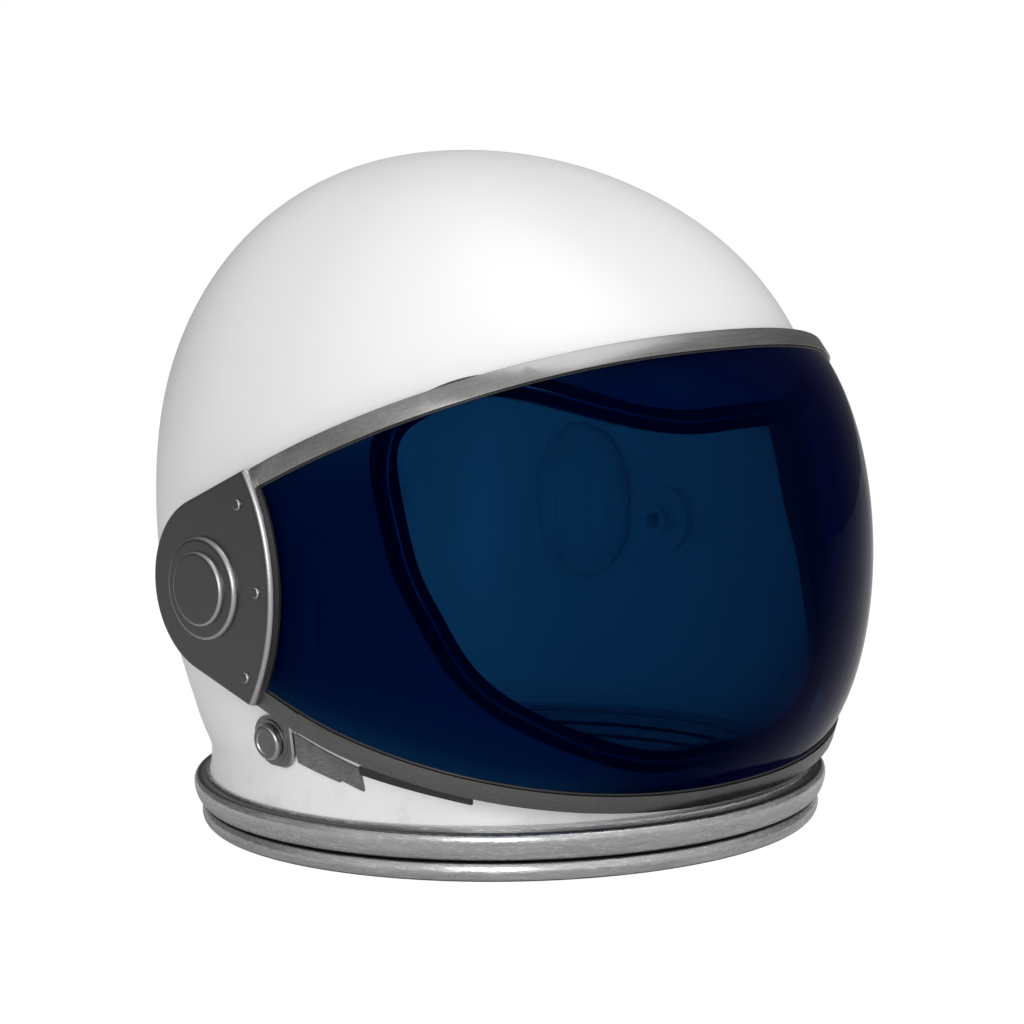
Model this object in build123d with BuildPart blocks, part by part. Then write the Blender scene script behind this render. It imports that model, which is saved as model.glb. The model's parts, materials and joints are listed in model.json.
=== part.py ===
from build123d import *
import math
import os

os.makedirs("parts", exist_ok=True)

# Helmet on its neck ring: the face looks along -Y, the wearer's right is -X, and the
# origin is the centre of the neck bore on the plane that the ring rests on.

# Gaps and cutters
overrun = 12
glue_line = 0.1
bond_line = 0.5
seal_gap = 0.25
running_gap = 0.3
shaft_clearance = 0.05

# Shell: level sections, each a superellipse with its own front and rear reach
shell_height = 302.7
shell_half_width = 146.3
shell_front_reach = 154.6
shell_rear_reach = 153.2
shell_wall = 4
widest_level = 156
foremost_level = 129.5
rearmost_level = 116
crown_setback = 26.8
neck_radius = 137
neck_front_reach = 132.5
neck_level = 35
full_section_level = 120
brow_level = 200
crown_level = 260
foot_flare = 1.2
foot_flare_level = 31
shell_spigot_level = 12

# Powers that round the shell's upright and level curves
side_crown_power = 2.1
front_crown_power = 1.91
rear_crown_power = 2.25
side_neck_power = 2.04
front_neck_power = 1.78
rear_neck_power = 2.0
setback_power = 2.2
rear_fullness_share = 0.45
front_fullness_share = 0.15
crown_fullness_share = 0.3
section_points = 32
lower_level_shares = (0.09, 0.2, 0.36, 0.56, 0.78)
crown_angle_shares = (0, 0.12, 0.24, 0.36, 0.47, 0.57, 0.66, 0.75, 0.83, 0.9, 0.96)

# Face opening: the ridge line of its edging, seen from the front
opening_half_width = 132.7
opening_height = 162.5
opening_sill_level = 45.5
ridge_shares = (
    (0, 0), (0.296, 0.004), (0.473, 0.04), (0.618, 0.094), (0.8, 0.194), (0.885, 0.286),
    (0.946, 0.412), (0.98, 0.511), (0.998, 0.627), (1, 0.768), (0.963, 0.895), (0.895, 0.954),
    (0.775, 1), (0.684, 0.995), (0.467, 0.932), (0.243, 0.891), (0, 0.891),
)
trim_outer_reach = 5.3
trim_inner_reach = 5.5
trim_bite = 2
trim_proud = 0.9

# Visor: edge lines in planes tilted about the sideways axis, each with the level of its
# plane at the pivots, where its sides end, how far it bulges and the power of its curve
visor_half_width = 151
band_sheet = 1.2
glass_thickness = 1.35
glass_rear = 10
upper_tilt_deg = 23.2
upper_edge_level = 162.3
upper_edge_side = 1.74
upper_edge_bulge = 141.68
upper_edge_power = 2.38
upper_rim_level = 171.7
upper_rim_side = 5.01
upper_rim_bulge = 132.79
upper_rim_power = 2.27
lower_tilt_deg = -18.4
lower_edge_level = 78.9
lower_edge_side = 15.72
lower_edge_bulge = 132.93
lower_edge_power = 2.16
lower_rim_level = 70.4
lower_rim_side = 15.17
lower_rim_bulge = 130.3
lower_rim_power = 2.15
middle_tilt_deg = 2.4
middle_level = 120.6
middle_side = 26.03
middle_bulge = 152.78
middle_power = 1.87
glass_span_shares = (-1, -0.67, -0.33, 0, 0.33, 0.67, 1)
glass_lip_share = 0.7
visor_points = 36

# Visor pivot, on both sides
pivot_setback = 27.9
pivot_level = 118.4
pivot_pad_radius = 16
pivot_pad_depth = 10.5
pivot_pad_face = 146.5
thrust_washer_radius = 14
thrust_washer_thickness = 1.3
pivot_shank_radius = 4
pivot_head_radius = 9
pivot_head_height = 2.7
pivot_bush_radius = 6
pivot_boss_radius = 12
inner_washer_radius = 9
inner_washer_thickness = 1.2
pivot_nut_across_flats = 13
pivot_nut_height = 5
pivot_thread_tail = 1.5

# Ear covers
cover_thickness = 4
cover_rear_radius = 38.9
cover_front_radius = 93
cover_front_centre_y = 77.2
cover_front_centre_z = 120.2
cover_front_round = 2.6
cover_edge_round = 1.2
cover_rim_wall = 3
cover_rim_depth = 2.9
cover_rim_start = 13
pivot_ring_radius = 22.6
pivot_ring_height = 2.5
pivot_ring_round = 2.3
pivot_ring_bore = 14
pivot_cap_radius = 16.3
pivot_cap_height = 2.2
pivot_cap_round = 1.8
pivot_cap_top = 1.4
pivot_cap_wall = 1.8
gasket_front_overhang = 1.3
gasket_width = 13
rivet_arc_radius = 76.4
rivet_arc_y = 69.4
rivet_arc_z = 117.1
rivet_pitch_deg = 29
rivet_turn_deg = 2
rivet_head_radius = 2.5
rivet_head_height = 1.3
rivet_head_round = 1
rivet_shank_radius = 1.5

# Latch below the right cover
latch_setback = 1
latch_level = 53.5
latch_plate_length = 26
latch_plate_height = 24
latch_plate_proud = 2
latch_plate_round = 9
latch_plate_corner = 6
latch_plate_edge = 0.8
latch_collar_radius = 9.6
latch_collar_height = 1
latch_knob_radius = 8
latch_knob_height = 5
latch_knob_round = 1.8
latch_spindle_radius = 3
latch_cam_gap = 2
latch_cam_length = 24
latch_cam_radius = 6
latch_cam_thickness = 2.5
strap_rear = -13
strap_front = -44.5
strap_step_at = -34
strap_step = 1.4
strap_rear_top = 58
strap_rear_foot = 45.2
strap_step_foot = 38.8
strap_front_foot = 35.8
strap_front_top = 46
strap_proud = 1.4
strip_front = -85
strip_rear_foot = 43.2
strip_front_foot = 32
strip_width = 4
strip_proud = 1.2

# Neck ring and lock ring
neck_bore_radius = 124
ring_top_level = 23.2
ring_step_level = 21.6
ring_top_radius = 139.6
ring_step_radius = 141.8
ring_bulge_radius = 145
ring_bulge_level = 15.4
ring_foot_radius = 141.6
ring_foot_level = 9.6
ring_seat_radius = 139
lock_ring_height = 8.3
lock_ring_radius = 142
lock_ring_foot_radius = 139.6
lock_ring_waist_radius = 140.2
lock_flange_height = 5.2
ring_spigot_wall = 6
wire_radius = 1.1
seal_level = 15
seal_radius = 1.5
slot_depth = 3.5
slot_rise = 1.6
slot_top = 4.4
slot_entry_deg = 9
slot_turn_deg = 22
slot_count = 3

# Head pads
pad_gap = 0.3
crown_pad_radii = (72, 88, 27)
rear_pad_radii = (78, 27, 58)
rear_pad_level = 125
side_pad_radii = (22, 37, 48)
side_pad_setback = 84
side_pad_level = 122


def clipped(value):
    """A value held between 0 and 1."""
    return min(max(value, 0), 1)


def shell_reach(level, growth, widest, widest_at, neck, crown_power, neck_power):
    """How far the shell reaches at a level, from the neck out to the widest and in to the crown."""
    if level > widest_at:
        crown = shell_height + growth
        climb = (level - widest_at) / (crown - widest_at)
        return (widest + growth) * (1 - climb**crown_power) ** (1 / crown_power)
    climb = clipped((level - neck_level) / (widest_at - neck_level))
    flare = clipped((foot_flare_level - level) / (foot_flare_level - ring_top_level))
    foot = neck + growth + foot_flare * flare**2
    return foot + (widest - neck) * (1 - (1 - climb) ** neck_power)


def shell_section(level, growth):
    """Centre, half width, front and rear reach and the two section powers at a level."""
    crown = shell_height + growth
    centre = crown_setback * clipped((level - neck_level) / (crown - neck_level)) ** setback_power
    half_width = shell_reach(
        level, growth, shell_half_width, widest_level, neck_radius, side_crown_power, side_neck_power
    )
    if level > foremost_level:
        front = centre - crown_setback + shell_reach(
            level, growth, shell_front_reach + crown_setback, foremost_level, 0, front_crown_power, 1
        )
    else:
        front = centre + shell_reach(
            level, growth, shell_front_reach, foremost_level, neck_front_reach, 1, front_neck_power
        )
    if level > rearmost_level:
        rear = crown_setback - centre + shell_reach(
            level, growth, shell_rear_reach - crown_setback, rearmost_level, 0, rear_crown_power, 1
        )
    else:
        rear = shell_reach(
            level, growth, shell_rear_reach, rearmost_level, neck_radius, 1, rear_neck_power
        ) - centre
    fullness = clipped((level - neck_level) / (full_section_level - neck_level))
    crowning = clipped((level - brow_level) / (crown_level - brow_level))
    front_power = 2 + front_fullness_share * fullness + crown_fullness_share * crowning
    rear_power = 2 + rear_fullness_share * fullness
    return centre, half_width, front, rear, front_power, rear_power


def shell_outline(level, growth):
    """Points around the shell at a level, evenly turned about its centre from the rear."""
    centre, half_width, front, rear, front_power, rear_power = shell_section(level, growth)
    points = []
    for step in range(section_points):
        turn = 2 * math.pi * step / section_points + math.pi
        ahead = math.cos(turn) > 0
        reach, power = (front, front_power) if ahead else (rear, rear_power)
        across = (abs(math.sin(turn)) / half_width) ** power
        along = (abs(math.cos(turn)) / reach) ** power
        distance = (across + along) ** (-1 / power)
        points.append((distance * math.sin(turn), centre - distance * math.cos(turn)))
    return points


def shell_front(across, level):
    """Y of the shell's outer face in front of its widest line."""
    centre, half_width, front, _, power, _ = shell_section(level, 0)
    return centre - front * (1 - clipped(abs(across) / half_width) ** power) ** (1 / power)


def dome(growth, foot_level):
    """Closed solid of the shell's outer form, grown by an amount, from a foot level to the crown."""
    crown = shell_height + growth
    levels = [foot_level, (foot_level + ring_top_level) / 2, ring_top_level]
    levels += [ring_top_level + (foot_flare_level - ring_top_level) * third / 3 for third in (1, 2, 3)]
    levels += [neck_level]
    levels += [neck_level + (foremost_level - neck_level) * share for share in lower_level_shares]
    for share in crown_angle_shares:
        levels.append(foremost_level + (crown - foremost_level) * math.sin(share * math.pi / 2))
    sections = []
    for level in levels:
        with BuildSketch(Plane.XY.offset(level)) as section:
            with BuildLine():
                Spline(*shell_outline(level, growth), periodic=True)
            make_face()
        sections.append(section.sketch)
    with BuildPart() as form:
        loft([*sections, Vertex(0, crown_setback, crown)])
    return form.part


def ridge_points():
    """The edging's ridge line seen from the front, once round from the sill's middle."""
    right = [
        (opening_half_width * across, opening_sill_level + opening_height * up)
        for across, up in ridge_shares
    ]
    return right + [(-across, up) for across, up in reversed(right[1:-1])]


def edging_outline(reach):
    """The ridge line moved by an equal distance along the shell's surface all round."""
    ridge = ridge_points()
    points = []
    for index, (across, up) in enumerate(ridge):
        before = ridge[index - 1]
        after = ridge[(index + 1) % len(ridge)]
        run = math.dist(before, after)
        out_x = (after[1] - before[1]) / run
        out_z = (before[0] - after[0]) / run
        here = shell_front(across, up)
        there = shell_front(across - out_x * trim_bite, up - out_z * trim_bite)
        slope = (there - here) / trim_bite
        shift = reach / math.hypot(1, slope)
        points.append((across + out_x * shift, up + out_z * shift))
    return points


def edging_prism(reach):
    """Solid that stands on the moved ridge line and runs forward through the shell's front."""
    with BuildPart() as prism:
        with BuildSketch(Plane.XZ):
            with BuildLine():
                Spline(*edging_outline(reach), periodic=True)
            make_face()
        extrude(amount=shell_front_reach + overrun)
    return prism.part


def visor_line(span):
    """Tilt, level, side end, bulge and power of the visor between its lower and upper edge."""
    lower = (lower_tilt_deg, lower_edge_level, lower_edge_side, lower_edge_bulge, lower_edge_power)
    middle = (middle_tilt_deg, middle_level, middle_side, middle_bulge, middle_power)
    upper = (upper_tilt_deg, upper_edge_level, upper_edge_side, upper_edge_bulge, upper_edge_power)
    return [
        m + (u - l) / 2 * span + ((u + l) / 2 - m) * span**2
        for l, m, u in zip(lower, middle, upper)
    ]


def blended(first, second, share):
    """A visor line part of the way from one line to another."""
    return [a + (b - a) * share for a, b in zip(first, second)]


def visor_curve(side, bulge, power, inset, facing):
    """Points round the front of a visor line, from one side to the other."""
    half_width = visor_half_width - inset
    reach = bulge - inset
    points = []
    for step in range(visor_points + 1):
        turn = math.pi * step / visor_points
        across = (abs(math.cos(turn)) / half_width) ** power
        along = (abs(math.sin(turn)) / reach) ** power
        distance = (across + along) ** (-1 / power)
        points.append((facing * distance * math.cos(turn), side + distance * math.sin(turn)))
    return points


def visor_section(line, outer_inset, inner_inset):
    """Thin section of a visor layer in the tilted plane of one line."""
    tilt, level, side, bulge, power = line
    lean = math.radians(tilt)
    rear = -glass_rear / math.cos(lean)
    outer = visor_half_width - outer_inset
    inner = visor_half_width - inner_inset
    tilted = Plane(origin=(0, 0, level), x_dir=(1, 0, 0), z_dir=(0, -math.sin(lean), -math.cos(lean)))
    with BuildSketch(tilted) as section:
        with BuildLine():
            Line((outer, rear), (outer, side))
            Spline(*visor_curve(side, bulge, power, outer_inset, 1), tangents=((0, 1), (0, -1)))
            Polyline((-outer, side), (-outer, rear), (-inner, rear), (-inner, side))
            Spline(*visor_curve(side, bulge, power, inner_inset, -1), tangents=((0, 1), (0, -1)))
            Polyline((inner, side), (inner, rear), (outer, rear))
        make_face()
    return section.sketch


def side_plane(side, distance):
    """Upright plane across the sideways axis, with its X along +Y and its Y up."""
    return Plane.YZ.offset(side * distance)


def side_disc(side, inner, outer, radius):
    """Round solid on the pivot's axis between two distances from the middle."""
    with BuildPart() as disc:
        with BuildSketch(side_plane(side, inner)):
            with Locations((pivot_setback, pivot_level)):
                Circle(radius)
        extrude(amount=side * (outer - inner))
    return disc.part


def outer_face_edges(part, side):
    """Edges on the part's outermost face on one side."""
    return part.faces().sort_by(Axis.X)[-1 if side > 0 else 0].edges()


def write(part, name):
    """Label a finished piece and write it."""
    part.label = name
    export_step(part, f"parts/{name}.step")


sides = {"right": -1, "left": 1}

# Distances from the middle at the pivots, worked out from the visor's half width
cover_face = visor_half_width + cover_thickness
glass_outer_inset = band_sheet + bond_line
glass_inner_inset = glass_outer_inset + glass_thickness
washer_inner = pivot_pad_face + glue_line
washer_outer = washer_inner + thrust_washer_thickness
boss_face = washer_outer + running_gap
bush_outer = cover_face + glue_line
head_inner = bush_outer + running_gap
head_outer = head_inner + pivot_head_height
ring_face = cover_face + glue_line + pivot_ring_height
pad_back = pivot_pad_face - pivot_pad_depth
nut_outer = pad_back - glue_line - inner_washer_thickness - glue_line
nut_inner = nut_outer - pivot_nut_height
shank_bore = pivot_shank_radius + shaft_clearance
shank_inner = nut_inner - pivot_thread_tail

upper_edge = visor_line(1)
lower_edge = visor_line(-1)
upper_rim = (upper_tilt_deg, upper_rim_level, upper_rim_side, upper_rim_bulge, upper_rim_power)
lower_rim = (lower_tilt_deg, lower_rim_level, lower_rim_side, lower_rim_bulge, lower_rim_power)
upper_slope = math.tan(math.radians(upper_tilt_deg))
lower_slope = math.tan(math.radians(lower_tilt_deg))


def upper_level(level, y):
    """Level of an upper visor line at the sides."""
    return level - y * upper_slope


def lower_level(level, y):
    """Level of a lower visor line at the sides."""
    return level - y * lower_slope


# Rear round of the ear covers: its centre lies one radius from both rim lines
upper_drop = cover_rear_radius / math.cos(math.radians(upper_tilt_deg))
lower_rise = cover_rear_radius / math.cos(math.radians(lower_tilt_deg))
cover_rear_y = (upper_rim_level - upper_drop - lower_rim_level - lower_rise) / (upper_slope - lower_slope)
cover_rear_z = upper_level(upper_rim_level, cover_rear_y) - upper_drop


def cover_outline(side, distance, inset):
    """Face of the ear cover: between the rim lines, round at the rear and bowed at the front."""
    upper = math.radians(upper_tilt_deg)
    lower = math.radians(lower_tilt_deg)
    radius = cover_rear_radius - inset
    top_y = cover_rear_y + radius * math.sin(upper)
    top_z = cover_rear_z + radius * math.cos(upper)
    foot_y = cover_rear_y - radius * math.sin(lower)
    foot_z = cover_rear_z - radius * math.cos(lower)
    front = cover_front_centre_y - cover_front_radius - overrun
    with BuildSketch(side_plane(side, distance)) as outline:
        with BuildLine():
            Polyline(
                (top_y, top_z),
                (front, top_z + (top_y - front) * upper_slope),
                (front, foot_z - (front - foot_y) * lower_slope),
                (foot_y, foot_z),
                close=True,
            )
        make_face()
        with Locations((cover_rear_y, cover_rear_z)):
            Circle(radius)
        with Locations((cover_front_centre_y, cover_front_centre_z)):
            Circle(cover_front_radius - inset, mode=Mode.INTERSECT)
    return outline.sketch


def cover_rim(side, inner, outer):
    """Rim that closes the ear cover's sides towards the shell, behind the glass."""
    with BuildPart() as rim:
        extrude(cover_outline(side, inner, 0), amount=side * (outer - inner))
        core = cover_outline(side, inner, cover_rim_wall)
        extrude(core, amount=side * (outer - inner), mode=Mode.SUBTRACT)
        split(bisect_by=Plane.XZ.offset(-cover_rim_start), keep=Keep.BOTTOM)
    return rim.part


# Latch plane: on the shell's right side, square to its slope
latch_reach = shell_section(latch_level, 0)[1]
latch_lean = math.atan2(
    shell_section(latch_level + shell_wall, 0)[1] - shell_section(latch_level - shell_wall, 0)[1],
    2 * shell_wall,
)
latch_out = (-math.cos(latch_lean), 0, -math.sin(latch_lean))

latch_axis = Axis((0, 0, 0), latch_out)


def latch_plane(distance):
    """Plane square to the latch's axis, with its X rearward and its Y down."""
    origin = Vector(-latch_reach, latch_setback, latch_level) + Vector(*latch_out) * distance
    return Plane(origin=origin, x_dir=(0, 1, 0), z_dir=latch_out)


def latch_disc(inner, outer, radius):
    """Round solid on the latch's axis between two distances from the shell's face."""
    with BuildPart() as disc:
        with BuildSketch(latch_plane(inner)):
            Circle(radius)
        extrude(amount=outer - inner)
    return disc.part


# Shared forms of the shell
outer_dome = dome(0, shell_spigot_level)
inner_dome = dome(-shell_wall, shell_spigot_level - overrun)
opening_prism = edging_prism(trim_bite - trim_inner_reach)

# Shell
with BuildPart() as helmet_shell:
    add(outer_dome)
    for side in sides.values():
        add(side_disc(side, pad_back, pivot_pad_face, pivot_pad_radius))
    hollow = inner_dome
    for side in sides.values():
        hollow = hollow - side_disc(side, pad_back, pivot_pad_face, pivot_pad_radius)
        add(side_disc(side, pad_back - overrun, pivot_pad_face + overrun, shank_bore), mode=Mode.SUBTRACT)
    add(hollow, mode=Mode.SUBTRACT)
    add(opening_prism, mode=Mode.SUBTRACT)
    add(latch_disc(-overrun, overrun, latch_spindle_radius + shaft_clearance), mode=Mode.SUBTRACT)
write(helmet_shell.part, "helmet_shell")

# Edging: a channel that grips the opening's edge, outside and inside
with BuildPart() as face_trim:
    add(dome(trim_proud, shell_spigot_level))
    add(dome(-shell_wall - trim_proud, shell_spigot_level - overrun), mode=Mode.SUBTRACT)
    add(edging_prism(trim_outer_reach), mode=Mode.INTERSECT)
    add(edging_prism(-trim_inner_reach), mode=Mode.SUBTRACT)
    add(helmet_shell.part, mode=Mode.SUBTRACT)
write(face_trim.part, "face_trim")

# Head pads: crowned cushions that lie against the shell's inner face
lining = dome(-shell_wall - pad_gap, shell_spigot_level - overrun)


def pad(centre, radii):
    """Cushion with a domed face, its back cut to the shell's inner form."""
    crest = Pos(*centre) * scale(Sphere(1), by=radii)
    with BuildPart() as cushion:
        add(crest)
        add(lining, mode=Mode.INTERSECT)
    return cushion.part


inner_crown = shell_height - shell_wall
inner_rear = shell_rear_reach - shell_wall
write(pad((0, crown_setback, inner_crown), crown_pad_radii), "crown_pad")
write(pad((0, inner_rear, rear_pad_level), rear_pad_radii), "rear_pad")
for name, side in sides.items():
    centre = (side * (shell_half_width - side_pad_radii[0] / 2), side_pad_setback, side_pad_level)
    write(pad(centre, side_pad_radii), f"side_pad_{name}")

# Visor: glass with a lip under each band, and the two bands
rivet_holes = []
for side in sides.values():
    for step in (-1, 0, 1):
        turn = math.radians(180 - rivet_turn_deg + step * rivet_pitch_deg)
        place_y = rivet_arc_y + rivet_arc_radius * math.cos(turn)
        place_z = rivet_arc_z + rivet_arc_radius * math.sin(turn)
        rivet_holes.append((side, (place_y, place_z)))


def rivet_bores(side, radius):
    """Cutters for one side's rivet holes."""
    with BuildPart() as bores:
        with BuildSketch(side_plane(side, visor_half_width - overrun)):
            with Locations(*[place for where, place in rivet_holes if where == side]):
                Circle(radius)
        extrude(amount=side * (overrun + cover_thickness + overrun))
    return bores.part


def glass_section(line):
    """Section of the glass in the tilted plane of one line."""
    return visor_section(line, glass_outer_inset, glass_inner_inset)


with BuildPart() as visor_glass:
    loft([glass_section(visor_line(span)) for span in glass_span_shares])
    for edge, rim in ((upper_edge, upper_rim), (lower_edge, lower_rim)):
        lip = blended(edge, rim, glass_lip_share)
        loft([glass_section(edge), glass_section(lip)], ruled=True)
    for side in sides.values():
        add(rivet_bores(side, rivet_shank_radius + glue_line), mode=Mode.SUBTRACT)
write(visor_glass.part, "visor_glass")

for name, edge, rim in (("upper_band", upper_edge, upper_rim), ("lower_band", lower_edge, lower_rim)):
    with BuildPart() as band:
        loft([visor_section(line, 0, band_sheet) for line in (edge, rim)], ruled=True)
    write(band.part, name)

# Ear covers and what they carry: each is a dished plate with a boss that runs on the washer
for name, side in sides.items():
    bonded = visor_half_width + glue_line
    with BuildPart() as ear_cover:
        extrude(cover_outline(side, bonded, 0), amount=side * (cover_face - bonded))
        face_edges = outer_face_edges(ear_cover.part, side)
        front_edge = face_edges.filter_by(GeomType.CIRCLE).sort_by(SortBy.RADIUS)[-1]
        fillet(front_edge, cover_front_round)
        face_edges = outer_face_edges(ear_cover.part, side)
        rear_edge = face_edges.filter_by(GeomType.CIRCLE).sort_by(Axis.Y)[-1]
        fillet([rear_edge, *face_edges.filter_by(GeomType.LINE)], cover_edge_round)
        add(cover_rim(side, bonded - cover_rim_depth, bonded))
        add(side_disc(side, boss_face, bonded, pivot_boss_radius))
        add(side_disc(side, boss_face, cover_face, pivot_bush_radius + glue_line), mode=Mode.SUBTRACT)
        add(rivet_bores(side, rivet_shank_radius + glue_line), mode=Mode.SUBTRACT)
    write(ear_cover.part, f"ear_cover_{name}")

    with BuildPart() as ear_gasket:
        seam = visor_half_width - band_sheet
        with BuildSketch(side_plane(side, seam)):
            with BuildLine():
                front = cover_front_centre_y - cover_front_radius - overrun
                rear = glass_rear - running_gap
                Polyline(
                    (rear, upper_level(upper_edge_level - glue_line, rear)),
                    (front, upper_level(upper_edge_level - glue_line, front)),
                    (front, lower_level(lower_edge_level + glue_line, front)),
                    (rear, lower_level(lower_edge_level + glue_line, rear)),
                    close=True,
                )
            make_face()
            with Locations((cover_front_centre_y, cover_front_centre_z)):
                Circle(cover_front_radius + gasket_front_overhang, mode=Mode.INTERSECT)
                Circle(cover_front_radius - gasket_width, mode=Mode.SUBTRACT)
        extrude(amount=side * band_sheet)
        add(rivet_bores(side, rivet_shank_radius + glue_line), mode=Mode.SUBTRACT)
    write(ear_gasket.part, f"ear_gasket_{name}")

    with BuildPart() as ear_rivets:
        places = [place for where, place in rivet_holes if where == side]
        with BuildSketch(side_plane(side, cover_face)):
            with Locations(*places):
                Circle(rivet_head_radius)
        extrude(amount=side * rivet_head_height)
        tops = ear_rivets.faces().group_by(Axis.X)[-1 if side > 0 else 0].edges()
        fillet(tops, rivet_head_round)
        with BuildSketch(side_plane(side, visor_half_width - glass_inner_inset)):
            with Locations(*places):
                Circle(rivet_shank_radius)
        extrude(amount=side * (cover_thickness + glass_inner_inset))
    write(ear_rivets.part, f"ear_rivets_{name}")

    with BuildPart() as pivot_ring:
        add(side_disc(side, cover_face + glue_line, ring_face, pivot_ring_radius))
        fillet(outer_face_edges(pivot_ring.part, side), pivot_ring_round)
        add(side_disc(side, cover_face, ring_face, pivot_ring_bore), mode=Mode.SUBTRACT)
    write(pivot_ring.part, f"pivot_ring_{name}")

    with BuildPart() as pivot_cap:
        cap_top = ring_face + pivot_cap_height
        add(side_disc(side, ring_face, cap_top, pivot_cap_radius))
        fillet(outer_face_edges(pivot_cap.part, side), pivot_cap_round)
        spigot_radius = pivot_ring_bore - glue_line
        add(side_disc(side, cover_face + glue_line, ring_face, spigot_radius))
        hollow_radius = spigot_radius - pivot_cap_wall
        add(side_disc(side, cover_face, cap_top - pivot_cap_top, hollow_radius), mode=Mode.SUBTRACT)
    write(pivot_cap.part, f"pivot_cap_{name}")

    with BuildPart() as pivot_bush:
        add(side_disc(side, boss_face, bush_outer, pivot_bush_radius))
        add(side_disc(side, boss_face, bush_outer, shank_bore), mode=Mode.SUBTRACT)
    write(pivot_bush.part, f"pivot_bush_{name}")

    with BuildPart() as pivot_bolt:
        add(side_disc(side, head_inner, head_outer, pivot_head_radius))
        fillet(outer_face_edges(pivot_bolt.part, side), pivot_head_height / 3)
        add(side_disc(side, shank_inner, head_inner, pivot_shank_radius))
    write(pivot_bolt.part, f"pivot_bolt_{name}")

    with BuildPart() as thrust_washer:
        add(side_disc(side, washer_inner, washer_outer, thrust_washer_radius))
        add(side_disc(side, washer_inner, washer_outer, shank_bore), mode=Mode.SUBTRACT)
    write(thrust_washer.part, f"thrust_washer_{name}")

    with BuildPart() as inner_washer:
        add(side_disc(side, nut_outer + glue_line, pad_back - glue_line, inner_washer_radius))
        add(side_disc(side, nut_outer, pad_back, shank_bore), mode=Mode.SUBTRACT)
    write(inner_washer.part, f"inner_washer_{name}")

    with BuildPart() as pivot_nut:
        with BuildSketch(side_plane(side, nut_inner)):
            with Locations((pivot_setback, pivot_level)):
                RegularPolygon(pivot_nut_across_flats / 2, 6, major_radius=False)
                Circle(shank_bore, mode=Mode.SUBTRACT)
        extrude(amount=side * pivot_nut_height)
    write(pivot_nut.part, f"pivot_nut_{name}")

# Latch: plate, knob on a spindle through the shell, and the cam that the spindle turns
collar_face = latch_plate_proud + latch_collar_height
knob_foot = collar_face + running_gap
cam_outer = -shell_wall - latch_cam_gap
with BuildPart() as latch_escutcheon:
    with BuildSketch(latch_plane(-shell_wall / 2)) as plate:
        Rectangle(latch_plate_length, latch_plate_height)
        corners = plate.vertices().group_by(Axis.Y)
        fillet(corners[-1], latch_plate_round)
        chamfer(corners[0], latch_plate_corner)
    extrude(amount=shell_wall / 2 + latch_plate_proud)
    chamfer(latch_escutcheon.faces().sort_by(latch_axis)[-1].edges(), latch_plate_edge)
    add(latch_disc(0, collar_face, latch_collar_radius))
    add(latch_disc(-overrun, overrun, latch_spindle_radius + shaft_clearance), mode=Mode.SUBTRACT)
    add(outer_dome, mode=Mode.SUBTRACT)
write(latch_escutcheon.part, "latch_escutcheon")

with BuildPart() as latch_knob:
    add(latch_disc(knob_foot, knob_foot + latch_knob_height, latch_knob_radius))
    fillet(latch_knob.faces().sort_by(latch_axis)[-1].edges(), latch_knob_round)
    seat = latch_spindle_radius + glue_line
    add(latch_disc(knob_foot, knob_foot + latch_knob_height / 2 + glue_line, seat), mode=Mode.SUBTRACT)
write(latch_knob.part, "latch_knob")

with BuildPart() as latch_spindle:
    add(latch_disc(cam_outer - latch_cam_thickness, knob_foot + latch_knob_height / 2, latch_spindle_radius))
write(latch_spindle.part, "latch_spindle")

with BuildPart() as latch_cam:
    with BuildSketch(latch_plane(cam_outer - latch_cam_thickness)):
        Circle(latch_cam_radius)
        with Locations((-latch_cam_length / 2, 0)):
            Rectangle(latch_cam_length, latch_cam_radius)
        Circle(latch_spindle_radius + glue_line, mode=Mode.SUBTRACT)
    extrude(amount=latch_cam_thickness)
write(latch_cam.part, "latch_cam")


def shell_strip(outline, proud):
    """Strip that lies on the shell's right side, inside an outline seen from that side."""
    with BuildPart() as strip:
        with BuildSketch(Plane.YZ.offset(-shell_half_width - overrun)):
            with BuildLine():
                Polyline(*outline, close=True)
            make_face()
        extrude(amount=shell_half_width)
        add(dome(proud, shell_spigot_level), mode=Mode.INTERSECT)
        add(outer_dome, mode=Mode.SUBTRACT)
    return strip.part


strap_outline = [
    (strap_rear, strap_rear_top),
    (strap_rear, strap_rear_foot),
    (strap_step_at, strap_step_foot),
    (strap_step_at, strap_step_foot + strap_step),
    (strap_front, strap_front_foot),
    (strap_front, strap_front_top),
]
write(shell_strip(strap_outline, strap_proud), "latch_strap")
strip_start = strap_front - running_gap
strip_outline = [
    (strip_start, strip_rear_foot + strip_width),
    (strip_start, strip_rear_foot),
    (strip_front, strip_front_foot),
    (strip_front, strip_front_foot + strip_width),
]
write(shell_strip(strip_outline, strip_proud), "visor_rest_strip")

# Neck ring: stepped shoulders over a round bulge, with a slot for the shell's foot
spigot_radius = neck_bore_radius + ring_spigot_wall
wire_level = (lock_flange_height + lock_ring_height) / 2 + wire_radius / 2
wire_centre = spigot_radius + running_gap / 2


def wire_ring(radius):
    """Round wire between the neck ring's spigot and the lock ring."""
    with BuildPart() as ring:
        with BuildSketch(Plane.XZ):
            with Locations((wire_centre, wire_level)):
                Circle(radius)
        revolve(axis=Axis.Z)
    return ring.part


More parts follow.
